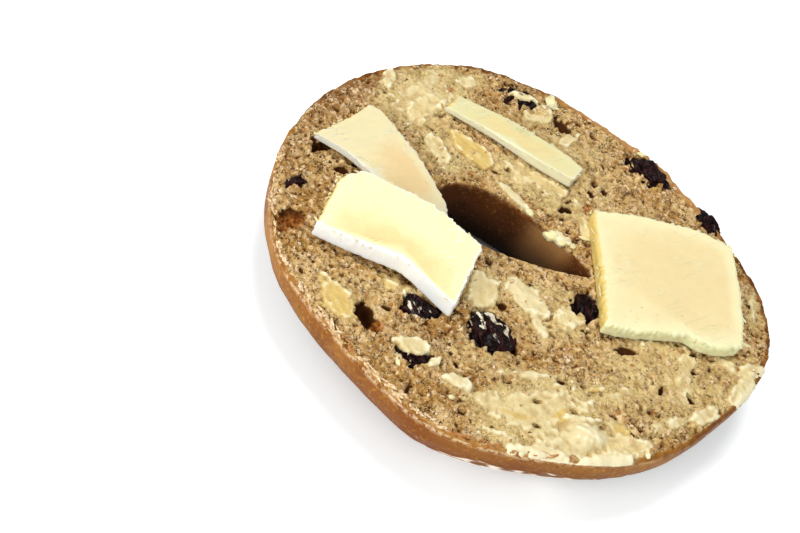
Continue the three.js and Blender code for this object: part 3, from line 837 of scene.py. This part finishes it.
def rounded(corners):
    """The outline as evenly spaced points, with rounded corners."""
    corners = np.array(corners, float)
    path = []
    for i, corner in enumerate(corners):
        before, after = corners[i - 1] - corner, corners[(i + 1) % len(corners)] - corner
        lengths = [np.linalg.norm(before), np.linalg.norm(after)]
        before, after = before / lengths[0], after / lengths[1]
        sharpness = math.sqrt(max(0.0, (1 + before @ after) / 2))
        cut = min(CORNER / max(sharpness, 0.15), 0.45 * min(lengths))
        start, end = corner + before * cut, corner + after * cut
        for t in np.linspace(0, 1, 9):
            path.append((1 - t) ** 2 * start + 2 * t * (1 - t) * corner + t * t * end)
    path = np.array([*path, path[0]])
    walked, at = evenly(path, SLICE_STEP, 3)
    return np.stack([np.interp(at, walked, path[:, k]) for k in range(2)], -1)


def slice_profile(soft, reach):
    """Rings of a slice from the middle of its underside to the middle of its top.

    Each is its inset in millimetres, the share of the way to the middle, and its level: the share of
    the thickness and millimetres added to that.
    """
    profile = [(0.0, 1.0, 0, 0), (0.0, 0.9, 0, 0), (0.0, 0.5, 0, 0), (0.2, 0.0, 0, 0), (0.04, 0.0, 0, 0.15)]
    profile += [(0.0, 0.0, up, 0.3 - (0.3 + soft) * up) for up in np.linspace(0, 1, 7)]
    turns = np.linspace(0, math.pi / 2, 7)[1:]
    profile += [(soft * (1 - math.cos(t)), 0.0, 1, -soft * (1 - math.sin(t))) for t in turns]
    return profile + [(soft, share, 1, 0) for share in np.linspace(0, 1, round(reach / SLICE_STEP))[1:]]


def body_of(corners, thick, rest, tilt):
    """A slice's outline, its middle, and what tells its underside's level and its thickness at a place."""
    outline = rounded(corners)
    middle = outline.mean(axis=0)
    west, east = outline[:, 0].min(), outline[:, 0].max()

    def levels(x, y):
        under = THICK + GAP + rest + math.tan(math.radians(tilt)) * (y - middle[1])
        return under, thick[0] + (thick[1] - thick[0]) * np.clip((x - west) / (east - west), 0, 1)

    return outline, middle, levels


def make_slice(name, corners, thick, rest, tilt, soft, warm_at, warm_reach, material, seed):
    outline, middle, levels = body_of(corners, thick, rest, tilt)
    along = unit(np.roll(outline, -1, 0) - np.roll(outline, 1, 0))
    inward = np.stack([-along[:, 1], along[:, 0]], -1)
    rough = Noise(seed)
    points, rings, warm, side, thin_and_shaded = [], [], [], [], []
    for inset, share, up, extra in slice_profile(soft, np.linalg.norm(outline - middle, axis=1).max()):
        count = max(12, round(len(outline) * (1 - share))) if share < 1 else 1
        i = (np.arange(count) * len(outline) / count).astype(int)
        base, facing = outline[i], inward[i]
        to_middle = np.linalg.norm(middle - base, axis=1)
        west_side = smooth((facing[:, 0] - 0.55) / 0.3)

        # Nicks in the sides, fewer of them at the foot.
        place = np.column_stack([base, np.full(count, up * 2.5)])
        torn = 1 + 0.9 * rough(place + 110, 9.0)
        nicks = torn * (0.24 * rough(place, 2.2) + 0.40 * rough(place + 20, 0.8))
        nicks = (nicks + 0.15 * rough(place + 70, 6)) * (0.45 + 0.55 * up)
        flat = base + (middle - base) * ((inset + 0.45 * west_side + nicks) / to_middle)[:, None]
        flat = flat * (1 - share) + middle * share

        # Waves, strokes of the knife and tears in the top.
        place = np.column_stack([flat, np.full(count, 7.0)])
        uneven = 0.15 * rough(place, 9.0) + 0.05 * rough(place + 50, 2.5) + 0.05 * rough(place @ KNIFE, 1.1)
        tears = np.clip(rough(place @ KNIFE + 90, 0.9) - 0.5, 0, 1) * smooth(rough(place + 30, 9.0) * 3)
        under, local = levels(*flat.T)
        points.append(np.column_stack([flat, under + up * (local + uneven - 0.25 * tears) + extra]))
        rings.append(i / len(outline))

        margin = smooth((share * to_middle + 2 * nicks) / 3.5)
        warm.append(margin * smooth(1.15 - np.linalg.norm((flat - warm_at) / warm_reach, axis=1)))
        # The top takes the side colour in a margin along its front edges, painted light. The cut sides take
        # the side colour, paler than the top and partly painted light, and those facing -X take the shaded
        # side colour, painted shade.
        if up == 1 and share > 0:
            side.append(0.6 * smooth(1 - share * to_middle / 1.5) * smooth(2 * facing[:, 1] - 0.2))
            thin_and_shaded.append(np.zeros(count))
        else:
            over = inset / soft * (up == 1)  # how far over the rounding of the top edge
            side.append((1 - 0.5 * over) * (1 - west_side))
            thin_and_shaded.append((1 - 0.6 * over) * 1.6 * west_side)
    side = np.concatenate(side)
    make_piece(
        f"cold_butter_{name}", np.concatenate(points), loft(rings, closed=False), material,
        {"warm": np.concatenate(warm), "thin_and_shaded": np.concatenate(thin_and_shaded), "side": side, "knife": 1 - side},
        [f"butter_slice_{name}"],
    )


# ---- Raisins ----

def raisin_places():
    """Sizes, centre, and turn of each raisin."""
    for x, y, long, wide, tall, turn, rise, butter, _ in FACE_RAISINS:
        to_rim = np.linalg.norm(rim(math.atan2(y, x))) - math.hypot(x, y)
        drop = SHOULDER_DROP * smooth(1 - to_rim / SHOULDER) ** 2
        z = THICK + warp(x, y) - drop + rise - tall / 2
        yield (long, wide, tall), (x, y, z), Matrix.Rotation(math.radians(turn), 3, "Z"), butter
    for degrees, below, long, wide, tall, rise in CRUST_RAISINS:
        angle, s = math.radians(degrees), below / THICK
        lean, sunk = math.asin(s), tall / 2 - rise
        reach = np.linalg.norm(rim(angle)) + BULGE * math.sin(math.pi * s)
        reach -= CURL * (1 - math.cos(lean)) + sunk * math.cos(lean)
        z = THICK - below + sunk * math.sin(lean)
        turn = Matrix.Rotation(angle + math.pi / 2, 3, "Z") @ Matrix.Rotation(math.pi / 2 + lean, 3, "X")
        yield (long, wide, tall), (reach * math.cos(angle), reach * math.sin(angle), z), turn, 0.0


def sphere(divisions):
    """Points and faces of a unit sphere of even triangles."""
    shape = bmesh.new()
    bmesh.ops.create_icosphere(shape, subdivisions=divisions, radius=1.0)
    points = np.array([v.co[:] for v in shape.verts])
    faces = np.array([[v.index for v in face.verts] for face in shape.faces])
    shape.free()
    return points, faces


def make_raisins():
    material = raisin_material()
    for index, (sizes, at, turn, butter) in enumerate(raisin_places()):
        points, faces = sphere(6 if max(sizes) > 7 else 5)
        half = np.array(sizes) / 2
        wrinkle = Noise(60 + index)
        place = points * half
        uneven = 0.22 * half.min() * wrinkle(points + 300, 0.9)
        bend = 0.7 * np.stack([wrinkle(place + k, 3.0) for k in (0, 30, 60)], -1)
        fine = (place + bend) * (0.5, 1.0, 1.0)
        fold = np.clip(1 - np.abs(wrinkle(fine, 1.9)) * 2.4, 0, 1) ** 1.2
        small = np.clip(1 - np.abs(wrinkle(fine + 90, 0.8)) * 2.2, 0, 1)
        lift = 0.80 * fold + 0.26 * small + uneven - 0.62
        placed = (place + unit(points / half) * lift[:, None]) @ np.array(turn).T + np.array(at)
        make_piece(
            f"raisin_skin_{index + 1}", placed, faces, material,
            {"fold": fold, "smear": butter - 0.12 * points[:, 0]}, [f"raisin_{index + 1}"],
        )


# ---- Bits of butter, crumbs and flakes ----

# Lumps of butter: x, y, how far above the cut, length, width, height, turn.
BUTTER_LUMPS = (
    (-12.1, 47.3, -0.1, 4.0, 2.6, 1.4, 100), (-11.2, 46.2, 0.1, 2.2, 1.4, 0.9, 20),
    (2.4, 9.9, 0.1, 3.4, 2.4, 1.6, 10), (5.2, 9.8, 0.0, 2.4, 1.8, 1.4, 60),
    (7.2, 10.3, 0.0, 1.5, 1.2, 1.0, 0), (-10.6, 15.9, 0.1, 2.6, 1.2, 0.7, -15),
    (-4.2, 12.9, 0.1, 2.4, 1.6, 1.0, -30), (8.8, 13.9, 0.3, 2.6, 0.8, 0.7, 20),
    (7.6, 17.4, 0.3, 1.8, 0.7, 0.6, -50), (1.6, -7.2, 0.2, 1.4, 1.0, 0.8, 0),
    (-11.6, -40.8, 0.3, 3.2, 1.0, 0.8, -60), (1.0, -41.9, 0.2, 1.2, 1.0, 0.7, 0),
    (47.9, 9.3, 1.8, 2.6, 0.9, 0.5, 15), (10.6, 47.0, 0.2, 2.0, 1.3, 1.2, 0),
)


def lumps(name, places, material, seed, divisions):
    """Many small uneven lumps as one mesh: x, y, z, length, width, height, turn and lean in degrees."""
    ball, ball_faces = sphere(divisions)
    rough = Noise(seed)
    points, faces = [], []
    for index, (x, y, z, long, wide, tall, turn, lean) in enumerate(places):
        uneven = 1 + 0.55 * rough(ball + 10.0 * index, 0.8) + 0.2 * rough(ball + 7.0 * index, 0.35)
        body = ball * uneven[:, None] * np.array([long, wide, tall]) / 2
        rotation = Matrix.Rotation(math.radians(turn), 3, "Z") @ Matrix.Rotation(math.radians(lean), 3, "X")
        points.append(body @ np.array(rotation).T + (x, y, z))
        faces.append(ball_faces + index * len(ball))
    points = np.concatenate(points)
    warm = np.full(len(points), 0.3)
    make_piece(name, points, np.concatenate(faces), material, {"warm": warm})


def lump_places():
    for x, y, above, *sizes, turn in BUTTER_LUMPS:
        yield x, y, THICK + warp(x, y) + above, *sizes, turn, 0


def sliver_places(seed, count):
    """Shreds of butter that the knife left along the top edges of the slices."""
    rng = np.random.default_rng(seed)
    for _, *shape in SLICES:
        outline, _, levels = body_of(*shape[:4])
        for i in rng.integers(0, len(outline), count):
            along = outline[(i + 1) % len(outline)] - outline[i - 1]
            turn = math.degrees(math.atan2(along[1], along[0])) + rng.normal(0, 30)
            top = sum(levels(*outline[i])) - rng.uniform(0.05, 0.5)
            long, wide = 0.5 + 1.3 * rng.random() ** 2, rng.uniform(0.2, 0.45)
            yield *outline[i], top, long, wide, 0.25, turn, rng.uniform(-40, 40)


def crumb_places(seed, count):
    """Loose crumbs on the cut face, most of them near its rim, and none in a hole."""
    rng = np.random.default_rng(seed)
    for _ in range(count):
        angle = rng.uniform(0, 2 * math.pi)
        share = 1 - 0.9 * rng.random() ** 1.4
        x, y = hole(angle) + (rim(angle) - hole(angle)) * (share - 0.03)
        long = 0.35 + 0.9 * rng.random() ** 2
        sizes = (long, long * rng.uniform(0.5, 0.9), long * rng.uniform(0.4, 0.8))
        crumb, deep, butter = (sample(plan, x, y) for plan in (CRUMB, HOLES, BUTTER))
        if deep < 0.3:
            z = THICK + warp(x, y) + max(crumb - deep, butter) + 0.05
            yield x, y, z, *sizes, rng.uniform(0, 180), rng.uniform(-30, 30)


def flake_places(seed, count):
    """Thin flakes that stand off the rim, where the knife tore the crust."""
    rng = np.random.default_rng(seed)
    for _ in range(count):
        angle = math.radians(rng.uniform(186, 305))
        x, y = rim(angle) * (1 - rng.uniform(0.0, 0.02))
        turn = math.degrees(angle) + 90 + rng.normal(0, 22)
        z = THICK + warp(x, y) - rng.uniform(0.0, 0.7)
        long = 0.6 + 2.0 * rng.random() ** 2
        yield x, y, z, long, rng.uniform(0.35, 0.7), 0.3, turn, rng.uniform(-60, 60)


def scrap_material():
    """Pale torn bread, of the loose crumbs and the flakes."""
    shader = Shader("scraps")
    fade, noise = shader.fade, shader.noise
    colour = shader.mix(fade(noise(0.5, 3, 0.7), 0.35, 0.65), (206, 164, 106), (246, 224, 188))
    colour = shader.mix(fade(noise(9, 2), 0.5, 0.6), colour, (178, 122, 66))
    shader.set(Base_Color=colour, Roughness=0.85, Specular_IOR_Level=0.2)
    shader.bump(noise(0.3, 3, 0.6), 0.5, 0.15)
    return shader.material


# ---- Assembly ----

make_bread()
CREAM, TAN, SHADED_SIDE = (224, 207, 156), (196, 168, 112), (226, 198, 116)
make_spread(butter_material("butter_spread", CREAM, (214, 182, 100), (246, 237, 200), TAN, 1.0, 0.1, 1.0))
slice_materials = {}
for number, (name, *shape) in enumerate(SLICES):
    slice_materials[name] = butter_material(
        f"butter_{name}", *SLICE_COLOURS[name], SHADED_SIDE, 2.2, 0.4, 0.15)
    make_slice(name, *shape, slice_materials[name], 40 + number)
make_raisins()
bits = [*lump_places(), *sliver_places(75, 26)]
lumps("butter_lumps", bits, slice_materials["front"], 70, 3)
scraps = scrap_material()
lumps("bread_crumbs", crumb_places(71, 420), scraps, 72, 2)
lumps("rim_flakes", flake_places(73, 220), scraps, 74, 3)

# ---- Floor, light and camera ----


FLOOR_HALF = 1.5  # in metres
GLOW = 0.38


def make_floor():
    """A white floor that glows faintly round the bagel, painted light that softens the shadow there."""
    shader = Shader("floor")
    distance = shader.node("ShaderNodeVectorMath", {0: shader.place}, operation="LENGTH").outputs["Value"]
    shader.set(
        Base_Color=linear(250, 250, 250), Roughness=0.9, Specular_IOR_Level=0.1,
        Emission_Color=(0.86, 0.97, 1.0, 1),
        Emission_Strength=shader.times(shader.fade(distance, 28, 48), GLOW),
    )
    mesh = bpy.data.meshes.new("floor")
    corners = [(x * FLOOR_HALF, y * FLOOR_HALF, 0) for x, y in ((-1, -1), (1, -1), (1, 1), (-1, 1))]
    mesh.from_pydata(corners, [], [(0, 1, 2, 3)])
    mesh.materials.append(shader.material)
    floor = add_object("floor", mesh)
    floor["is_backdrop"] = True


def add_light(name, at, size, power):
    """A round light at a place in metres, turned to the origin."""
    lamp = bpy.data.lights.new(name, "AREA")
    lamp.shape = "DISK"
    lamp.size = size
    lamp.energy = power
    light = add_object(name, lamp)
    light.location = at
    light.rotation_euler = (-Vector(at)).to_track_quat("-Z", "Y").to_euler()


def make_camera():
    """Looks at the bagel from 45 degrees up, leaning so that the bagel's up points to the upper right."""
    elevation, roll, distance = math.radians(45), math.radians(30), 0.42
    target = Vector((-0.97, -2.94, 18.0)) + Vector(ORIGIN)
    focal, width, height, sensor = 2058.0, 800, 533, 36  # the first three in pixels of the photo
    target_x, target_y = 515.6, 265.8  # where the target shows, in the same pixels
    axes = Matrix.Rotation(math.pi / 2 - elevation, 3, "X") @ Matrix.Rotation(roll, 3, "Z")
    aim = Vector((target_x - width / 2, height / 2 - target_y, -focal)).normalized()
    swing = Vector((0, 0, -1)).rotation_difference(aim).to_matrix().inverted()
    data = bpy.data.cameras.new("camera")
    data.sensor_width = sensor
    data.lens = focal / width * sensor
    data.clip_start = 0.01
    camera = add_object("camera", data)
    camera.matrix_world = Matrix.Translation(target * MM + axes.col[2] * distance) @ (axes @ swing).to_4x4()
    bpy.context.scene.camera = camera


make_floor()
make_camera()
add_light("key", (-0.10, 0.16, 0.78), 0.32, 3.05)
add_light("fill", (-0.42, -0.75, 0.42), 0.5, 5.2)
world = bpy.data.worlds.new("studio")
world.use_nodes = True
background = world.node_tree.nodes["Background"].inputs
background["Color"].default_value = (1, 1, 1, 1)
background["Strength"].default_value = 0.5
bpy.context.scene.world = world
bpy.context.scene.view_settings.view_transform = "Standard"

bounds_of_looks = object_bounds()
[
    [list(map(float, corner)) for corner in box] for box in (bounds_of_solids, bounds_of_looks)
]
